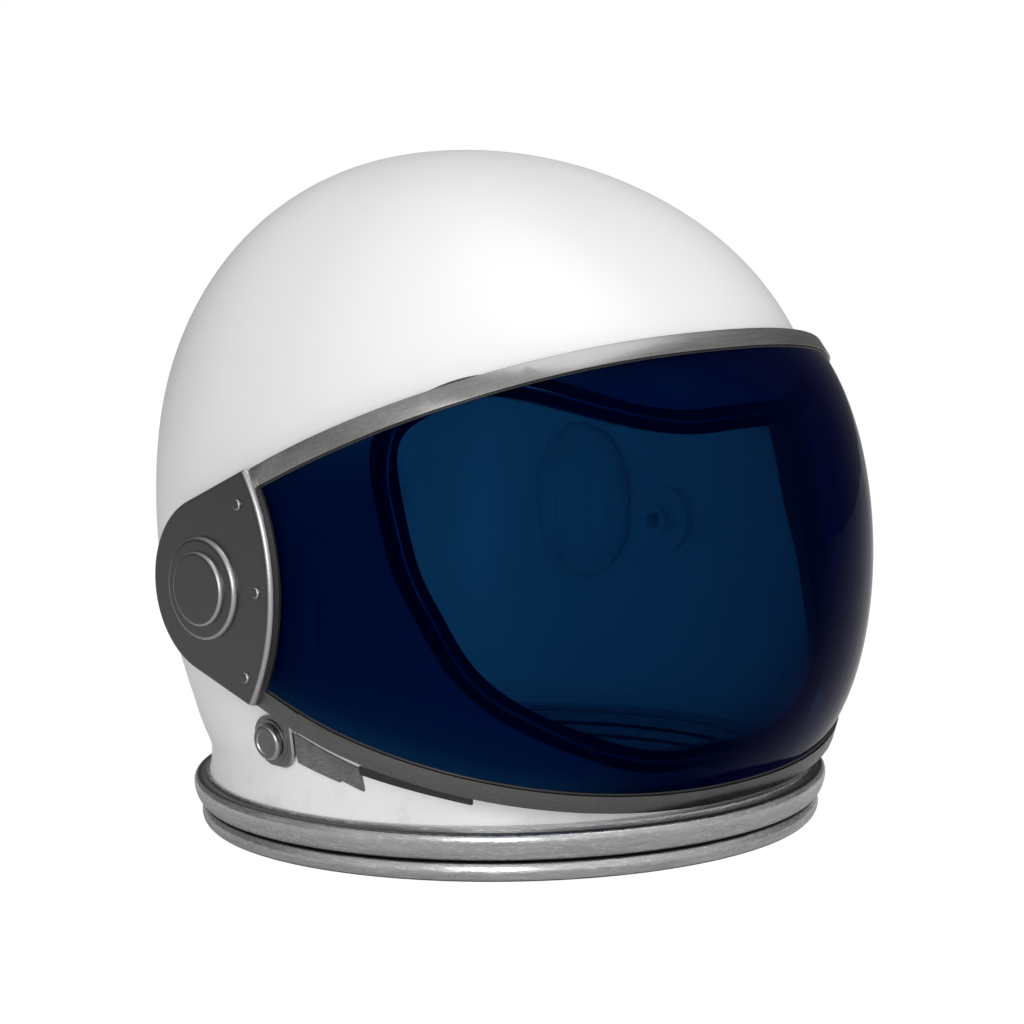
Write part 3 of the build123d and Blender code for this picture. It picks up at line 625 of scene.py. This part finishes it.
def through(points, count, closed):
    """Evenly spaced points on a smooth line through the given ones."""
    size = len(points)
    spans = size if closed else size - 1
    dense = []
    for span in range(spans):
        corners = []
        for step in (-1, 0, 1, 2):
            index = span + step
            corners.append(points[index % size] if closed else points[min(max(index, 0), size - 1)])
        a, b, c, d = corners
        for step in range(CURVE_STEPS):
            t = step / CURVE_STEPS
            square, cube = 2 * a - 5 * b + 4 * c - d, 3 * b - a - 3 * c + d
            dense.append(0.5 * (2 * b + (c - a) * t + square * t**2 + cube * t**3))
    dense.append(points[0] if closed else points[-1])
    runs = [0.0]
    for first, second in zip(dense, dense[1:]):
        runs.append(runs[-1] + (second - first).length)
    result = []
    place = 0
    for step in range(count):
        want = runs[-1] * step / (count if closed else count - 1)
        while place < len(runs) - 2 and runs[place + 1] < want:
            place += 1
        share = (want - runs[place]) / max(runs[place + 1] - runs[place], 1e-9)
        result.append(dense[place].lerp(dense[place + 1], min(max(share, 0), 1)))
    return result


def visor_line(tilt, level, side, bulge, power, inset):
    """Points along a line of the visor, from under one cover round the front to the other."""
    points = []
    for step in range(SEAM_POINTS):
        turn = math.pi * step / (SEAM_POINTS - 1)
        across = (abs(math.cos(turn)) / (VISOR_HALF_WIDTH - inset)) ** power
        along = (abs(math.sin(turn)) / (bulge - inset)) ** power
        reach = (across + along) ** (-1 / power)
        out = side + reach * math.sin(turn)
        rise = level + out * math.sin(tilt)
        points.append(Vector((reach * math.cos(turn), -out * math.cos(tilt), rise)))
    back = Vector((0, math.cos(tilt), -math.sin(tilt))) * SEAM_TAIL
    first, last = (
        [end + back * share for share in (0.25, 0.5, 0.75, 1)] for end in (points[0], points[-1])
    )
    return first[::-1] + points + last


def materials():
    """The helmet's finishes by name."""
    finish = bpy.context.scene.helmet_finish
    made = bpy.data.materials
    if "white_shell" not in made or not made["white_shell"].get("ready"):
        white_shell(finish)["ready"] = True
        # Both satin metals carry the painted highlight on their lips and rims
        satin_metal("satin_cover", finish.cover, finish.rim_highlight)
        satin_metal("satin_latch", finish.latch, finish.rim_highlight)
        strap_webbing(finish)
        brushed_band("upper_brushed", finish.upper_band, UPPER_TILT)
        # The lower band's darker tone is painted shade
        brushed_band("lower_brushed", finish.lower_band, LOWER_TILT)
        worn_ring(finish, "worn_ring", NECK_GROOVES)
        worn_ring(finish, "worn_lock", LOCK_GROOVES)
        rubber("black_rubber", finish.rubber, 0.3, 0.45)
        turned_metal("bead_steel", finish.bead, UPRIGHT_GRAIN, 0.13, 0.18)
        turned_metal("steel_fittings", finish.fitting, SIDEWAYS_GRAIN)
        painted_steel(finish)
        turned_metal("ring_wire", finish.fitting, UPRIGHT_GRAIN)
        turned_metal("bush_bronze", finish.bush, SIDEWAYS_GRAIN)
        mirror_glass(finish)
        woven_cloth(finish)
    return made


def cushion_backs(piece):
    """Numbers of the cushion's points that lie against the shell, told by their normals."""
    backs = []
    for vertex in piece.data.vertices:
        outward = vertex.co - HEAD_CENTRE
        if vertex.normal.dot(outward.normalized()) > BACK_LIMIT:
            backs.append(vertex.index)
    return backs


def swell(piece, backs, cap):
    """Blow the cushion's face out as cloth under pressure, its back held against the shell."""
    start = [vertex.co.copy() for vertex in piece.data.vertices]
    held = piece.vertex_groups.new(name="held")
    held.add(backs, 1.0, "REPLACE")
    cloth = piece.modifiers.new("swell", "CLOTH")
    cloth.settings.use_pressure = True
    cloth.settings.uniform_pressure_force = SWELL_PRESSURE
    cloth.settings.effector_weights.gravity = 0
    cloth.settings.vertex_group_mass = "held"
    cloth.settings.quality = 5
    scene = bpy.context.scene
    for frame_number in range(1, SWELL_FRAMES + 1):
        scene.frame_set(frame_number)
    evaluated = piece.evaluated_get(bpy.context.evaluated_depsgraph_get())
    moved = [vertex.co.copy() for vertex in evaluated.data.vertices]
    piece.modifiers.remove(cloth)
    scene.frame_set(1)
    for vertex, old, new in zip(piece.data.vertices, start, moved):
        step = new - old
        vertex.co = old + step * min(1.0, cap / max(step.length, 1e-9))
    piece.vertex_groups.remove(held)


def sew_channels(piece, across, pitch, depth):
    """Press sewn channels into the cushion's face."""
    for vertex in piece.data.vertices:
        outward = (vertex.co - HEAD_CENTRE).normalized()
        facing = min(max(-vertex.normal.dot(outward) * FACE_GAIN, 0), 1)
        offset = vertex.co[across] / pitch
        away = abs(offset - math.floor(offset) - 0.5) * pitch
        pucker = 1 + PUCKER_SHARE * noise.noise(vertex.co * PUCKER_SCALE)
        channel = math.exp(-((away / CHANNEL_WIDTH) ** 2))
        vertex.co -= vertex.normal * depth * facing * pucker * channel
    piece.data.update()


class HELMET_OT_shell(Operator):
    """Paint the shell."""

    bl_idname = "helmet.shell"
    bl_label = "Shell"

    def execute(self, context):
        dress("helmet_shell", materials()["white_shell"])
        return {"FINISHED"}


class HELMET_OT_edging(Operator):
    """Finish the edging round the face opening and lay a bead along it."""

    bl_idname = "helmet.edging"
    bl_label = "Face edging"

    def execute(self, context):
        sizes = context.scene.helmet_sizes
        trim = dress("face_trim", materials()["black_rubber"])
        half = [(HALF_OPENING * across, SILL + OPENING_HEIGHT * up) for across, up in RIDGE]
        ridge = half + [(-across, up) for across, up in reversed(half[1:-1])]
        points = []
        for across, up in ridge:
            hit, place, _, _ = trim.ray_cast(Vector((across, IN_FRONT, up)), Vector((0, 1, 0)))
            if not hit:
                raise RuntimeError("the edging has no face at its ridge line")
            points.append(place)
        loop = []
        for point in through(points, BEAD_POINTS, True):
            start = Vector((point.x, IN_FRONT, point.z))
            hit, place, normal, _ = trim.ray_cast(start, Vector((0, 1, 0)))
            loop.append(place - normal * (sizes.bead * BEAD_SUNK) if hit else point)
        bead = tube("edging_bead", loop, sizes.bead, True)
        settle(bead, materials()["bead_steel"], "helmet")
        return {"FINISHED"}


class HELMET_OT_visor(Operator):
    """Coat the visor and finish its bands."""

    bl_idname = "helmet.visor"
    bl_label = "Visor and bands"

    def execute(self, context):
        sizes = context.scene.helmet_sizes
        dress("visor_glass", materials()["blue_mirror_glass"])
        for name in ("upper", "lower"):
            piece = rounded_copy(f"{name}_band", f"{name}_brushed_band", sizes.edge_round)
            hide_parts(f"{name}_band")
            settle(piece, materials()[f"{name}_brushed"], "visor")
        for name, line in BAND_LINES.items():
            seam = tube(f"{name}_seam", visor_line(*line, SEAM_INSET), sizes.seam, False)
            settle(seam, materials()["black_rubber"], "visor")
        return {"FINISHED"}


class HELMET_OT_covers(Operator):
    """Finish both ear covers with their seams, rivets and pivot housings."""

    bl_idname = "helmet.covers"
    bl_label = "Ear covers and pivots"

    def execute(self, context):
        for side in SIDES:
            for name in ("ear_cover", "pivot_ring", "pivot_cap", "ear_rivets"):
                dress(f"{name}_{side}", materials()["satin_cover"])
            dress(f"ear_gasket_{side}", materials()["black_rubber"])
            dress(f"pivot_bolt_{side}", materials()["steel_fittings"])
            for name in ("inner_washer", "pivot_nut"):
                dress(f"{name}_{side}", materials()["painted_steel"])
            for name in ("pivot_bush", "thrust_washer"):
                dress(f"{name}_{side}", materials()["bush_bronze"])
        return {"FINISHED"}


def along_latch(point):
    """How far out along the latch's axis a point lies."""
    return (point - LATCH_CENTRE).dot(LATCH_AXIS)


def latch_plate(width):
    """Latch plate whose rear end is cut round, with rounded edges."""
    plate = merged_copy("latch_escutcheon", "latch_plate")
    pick(plate)
    bpy.ops.object.mode_set(mode="EDIT")
    for step in range(PLATE_FLATS):
        turn = math.radians(-PLATE_TURN + step * 2 * PLATE_TURN / (PLATE_FLATS - 1))
        level = LATCH_AXIS.cross(Vector((0, 1, 0)))
        side = Vector((0, math.cos(turn), 0)) + level * math.sin(turn)
        bpy.ops.mesh.select_all(action="SELECT")
        bpy.ops.mesh.bisect(
            plane_co=LATCH_CENTRE + side * PLATE_REACH, plane_no=side, use_fill=True,
            clear_outer=True, threshold=0.00001,
        )
    bpy.ops.object.mode_set(mode="OBJECT")
    round_edges(plate, width, sharp=38, smooth=30)
    return plate


def latch_knob():
    """Latch knob with a lower top and a turned step in its face."""
    knob = merged_copy("latch_knob", "latch_turned_knob")
    pick(knob)
    bpy.ops.object.mode_set(mode="EDIT")
    bpy.ops.mesh.dissolve_limited(angle_limit=FLAT_ANGLE)
    bpy.ops.mesh.select_all(action="DESELECT")
    bpy.ops.object.mode_set(mode="OBJECT")
    crown = max(along_latch(vertex.co) for vertex in knob.data.vertices)
    for vertex in knob.data.vertices:
        vertex.select = along_latch(vertex.co) > crown - KNOB_TOP
    bpy.ops.object.mode_set(mode="EDIT")
    bpy.ops.mesh.select_mode(type="VERT")
    bpy.ops.transform.translate(value=-LATCH_AXIS * KNOB_DROP)
    bpy.ops.mesh.select_all(action="DESELECT")
    bpy.ops.object.mode_set(mode="OBJECT")
    for face in knob.data.polygons:
        top = along_latch(face.center) > crown - KNOB_DROP - KNOB_SLACK
        face.select = top and face.normal.dot(LATCH_AXIS) > 0.999 and face.area > KNOB_FACE_AREA
    bpy.ops.object.mode_set(mode="EDIT")
    bpy.ops.mesh.select_mode(type="FACE")
    bpy.ops.mesh.inset(thickness=KNOB_RIM)
    bpy.ops.mesh.inset(thickness=KNOB_STEP, depth=-KNOB_SUNK)
    bpy.ops.object.mode_set(mode="OBJECT")
    bpy.ops.object.shade_smooth_by_angle(angle=math.radians(30))
    return knob


class HELMET_OT_latch(Operator):
    """Finish the latch, its strap and the visor's rest strip."""

    bl_idname = "helmet.latch"
    bl_label = "Latch"

    def execute(self, context):
        plate = latch_plate(context.scene.helmet_sizes.edge_round)
        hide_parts("latch_escutcheon")
        settle(plate, materials()["satin_latch"], "helmet")
        knob = latch_knob()
        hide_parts("latch_knob")
        settle(knob, materials()["satin_latch"], "latch")
        for name in ("latch_spindle", "latch_cam"):
            dress(name, materials()["steel_fittings"])
        dress("latch_strap", materials()["strap_webbing"])
        dress("visor_rest_strip", materials()["black_rubber"])
        return {"FINISHED"}


class HELMET_OT_rings(Operator):
    """Finish the neck ring, the lock ring, the seal and the wire."""

    bl_idname = "helmet.rings"
    bl_label = "Neck rings"

    def execute(self, context):
        dress("neck_ring", materials()["worn_ring"])
        dress("lock_ring", materials()["worn_lock"])
        dress("ring_seal", materials()["black_rubber"])
        dress("retaining_wire", materials()["ring_wire"])
        return {"FINISHED"}


class HELMET_OT_cushions(Operator):
    """Make the four head cushions."""

    bl_idname = "helmet.cushions"
    bl_label = "Cushions"

    def execute(self, context):
        sizes = context.scene.helmet_sizes
        for name, node, across in CUSHIONS:
            piece = merged_copy(node, f"{name}_cushion")
            remesh = piece.modifiers.new("even_mesh", "REMESH")
            remesh.mode = "VOXEL"
            remesh.voxel_size = sizes.voxel
            smooth = piece.modifiers.new("soften", "SMOOTH")
            smooth.factor = 0.5
            smooth.iterations = 3
            finish_modifiers(piece)
            backs = cushion_backs(piece)
            swell(piece, backs, sizes.swell)
            round_up = piece.modifiers.new("round_up", "SUBSURF")
            round_up.levels = round_up.render_levels = 1
            finish_modifiers(piece)
            sew_channels(piece, across, sizes.channel_pitch, sizes.channel)
            pick(piece)
            bpy.ops.object.shade_smooth()
            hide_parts(node)
            settle(piece, materials()["pad_cloth"], "helmet")
        return {"FINISHED"}


def stage_finish():
    """White ground that keeps the helmet's shadow."""
    made = Finish("studio_white").set(Base_Color=GROUND_TONE, Roughness=0.9)
    made.set(Specular_IOR_Level=0.0)
    glow = made.node("Emission")
    glow.inputs["Strength"].default_value = GROUND_GLOW
    path = made.node("LightPath")
    mixed = made.node("MixShader")
    made.link(made.math("MULTIPLY", path.outputs["Is Camera Ray"], GLOW_SHARE), mixed.inputs["Fac"])
    made.link(made.shader.outputs["BSDF"], mixed.inputs[1])
    made.link(glow.outputs[0], mixed.inputs[2])
    made.link(mixed.outputs[0], made.output.inputs["Surface"])
    return made.material


def lay_ground():
    """Round white ground just under the helmet."""
    pick_none()
    bpy.ops.mesh.primitive_circle_add(
        vertices=96, radius=GROUND_RADIUS, fill_type="NGON", location=(0, 0, -GROUND_DROP)
    )
    ground = bpy.context.object
    ground.name = "ground"
    ground.data.materials.append(stage_finish())


def hang_lamps(studio):
    """Softboxes and small lamps, each facing its aim."""
    for name, place, aim, (width, height), spread, power, in_gloss in LAMPS:
        bpy.ops.object.light_add(type="AREA", location=place)
        lamp = bpy.context.object
        lamp.name = name
        lamp.data.shape = "RECTANGLE"
        lamp.data.size = width
        lamp.data.size_y = height
        lamp.data.energy = getattr(studio, power)
        lamp.data.spread = math.radians(spread)
        lamp.visible_camera = False
        lamp.visible_glossy = in_gloss
        lamp.rotation_euler = (Vector(aim) - Vector(place)).to_track_quat("-Z", "Y").to_euler()


def light_sky(strength):
    """Even light, brightest from the front right above, and white where the camera sees it."""
    world = bpy.data.worlds.new("studio_sky")
    bpy.context.scene.world = world
    world.use_nodes = True
    tree = world.node_tree
    tree.nodes.clear()
    output = tree.nodes.new("ShaderNodeOutputWorld")
    lit = tree.nodes.new("ShaderNodeBackground")
    lit.inputs["Strength"].default_value = strength
    coordinates = tree.nodes.new("ShaderNodeTexCoord")
    facing = tree.nodes.new("ShaderNodeVectorMath")
    facing.operation = "DOT_PRODUCT"
    facing.inputs[1].default_value = SKY_BRIGHTEST.normalized()
    tree.links.new(coordinates.outputs["Generated"], facing.inputs[0])
    grade = tree.nodes.new("ShaderNodeMapRange")
    grade.inputs["From Min"].default_value = SKY_FROM
    grade.inputs["To Min"].default_value = SKY_DARK
    grade.inputs["To Max"].default_value = SKY_BRIGHT
    tree.links.new(facing.outputs["Value"], grade.inputs["Value"])
    tree.links.new(grade.outputs["Result"], lit.inputs["Color"])
    seen = tree.nodes.new("ShaderNodeBackground")
    seen.inputs["Color"].default_value = (1, 1, 1, 1)
    path = tree.nodes.new("ShaderNodeLightPath")
    mixed = tree.nodes.new("ShaderNodeMixShader")
    tree.links.new(path.outputs["Is Camera Ray"], mixed.inputs["Fac"])
    tree.links.new(lit.outputs[0], mixed.inputs[1])
    tree.links.new(seen.outputs[0], mixed.inputs[2])
    tree.links.new(mixed.outputs[0], output.inputs["Surface"])


def set_camera(lens):
    """Camera where the photograph was taken."""
    flat = math.cos(CAMERA_RISE)
    ahead = Vector((
        math.sin(CAMERA_TURN) * flat, math.cos(CAMERA_TURN) * flat, -math.sin(CAMERA_RISE)
    ))
    across = Vector((math.cos(CAMERA_TURN), -math.sin(CAMERA_TURN), 0))
    upward = across.cross(ahead)
    right = across * math.cos(CAMERA_ROLL) - upward * math.sin(CAMERA_ROLL)
    top = across * math.sin(CAMERA_ROLL) + upward * math.cos(CAMERA_ROLL)
    place = across * AIM_ACROSS + Vector((0, 0, AIM_LEVEL)) - ahead * CAMERA_DISTANCE
    bpy.ops.object.camera_add()
    camera = bpy.context.object
    camera.name = "front_quarter_camera"
    camera.data.lens = lens
    camera.data.sensor_width = 36
    camera.data.clip_start = 0.05
    camera.data.clip_end = 50
    turned = Matrix((right, top, -ahead)).transposed().to_4x4()
    camera.matrix_world = Matrix.Translation(place) @ turned
    bpy.context.scene.camera = camera


class HELMET_OT_studio(Operator):
    """Lay the ground, light the helmet and set the camera."""

    bl_idname = "helmet.studio"
    bl_label = "Studio"

    def execute(self, context):
        studio = context.scene.helmet_studio
        lay_ground()
        hang_lamps(studio)
        light_sky(studio.sky)
        set_camera(studio.lens)
        context.scene.view_settings.view_transform = "Standard"
        context.scene.cycles.transparent_max_bounces = 16
        context.scene.cycles.transmission_bounces = 12
        return {"FINISHED"}


OPERATORS = (
    HELMET_OT_shell,
    HELMET_OT_edging,
    HELMET_OT_visor,
    HELMET_OT_covers,
    HELMET_OT_latch,
    HELMET_OT_rings,
    HELMET_OT_cushions,
    HELMET_OT_studio,
)


class HELMET_PT_tools(Panel):
    """Lists the helmet's steps and settings."""

    bl_idname = "HELMET_PT_tools"
    bl_label = "Astronaut helmet"
    bl_space_type = "VIEW_3D"
    bl_region_type = "UI"
    bl_category = "Helmet"

    def draw(self, context):
        layout = self.layout
        for group in ("helmet_finish", "helmet_sizes", "helmet_studio"):
            settings = getattr(context.scene, group)
            column = layout.column()
            for name in settings.bl_rna.properties.keys():
                if name not in ("rna_type", "name"):
                    column.prop(settings, name)
        for operator in OPERATORS:
            layout.operator(operator.bl_idname)


GROUPS = {"helmet_finish": HelmetFinish, "helmet_sizes": HelmetSizes, "helmet_studio": HelmetStudio}


def register():
    for made in (*GROUPS.values(), *OPERATORS, HELMET_PT_tools):
        bpy.utils.register_class(made)
    for name, group in GROUPS.items():
        setattr(bpy.types.Scene, name, PointerProperty(type=group))


def unregister():
    for name in GROUPS:
        delattr(bpy.types.Scene, name)
    for made in reversed((*GROUPS.values(), *OPERATORS, HELMET_PT_tools)):
        bpy.utils.unregister_class(made)


def main():
    """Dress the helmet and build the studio."""
    register()
    bpy.ops.helmet.shell()
    bpy.ops.helmet.edging()
    bpy.ops.helmet.visor()
    bpy.ops.helmet.covers()
    bpy.ops.helmet.latch()
    bpy.ops.helmet.rings()
    bpy.ops.helmet.cushions()
    bpy.ops.helmet.studio()


if __name__ == "__main__":
    main()
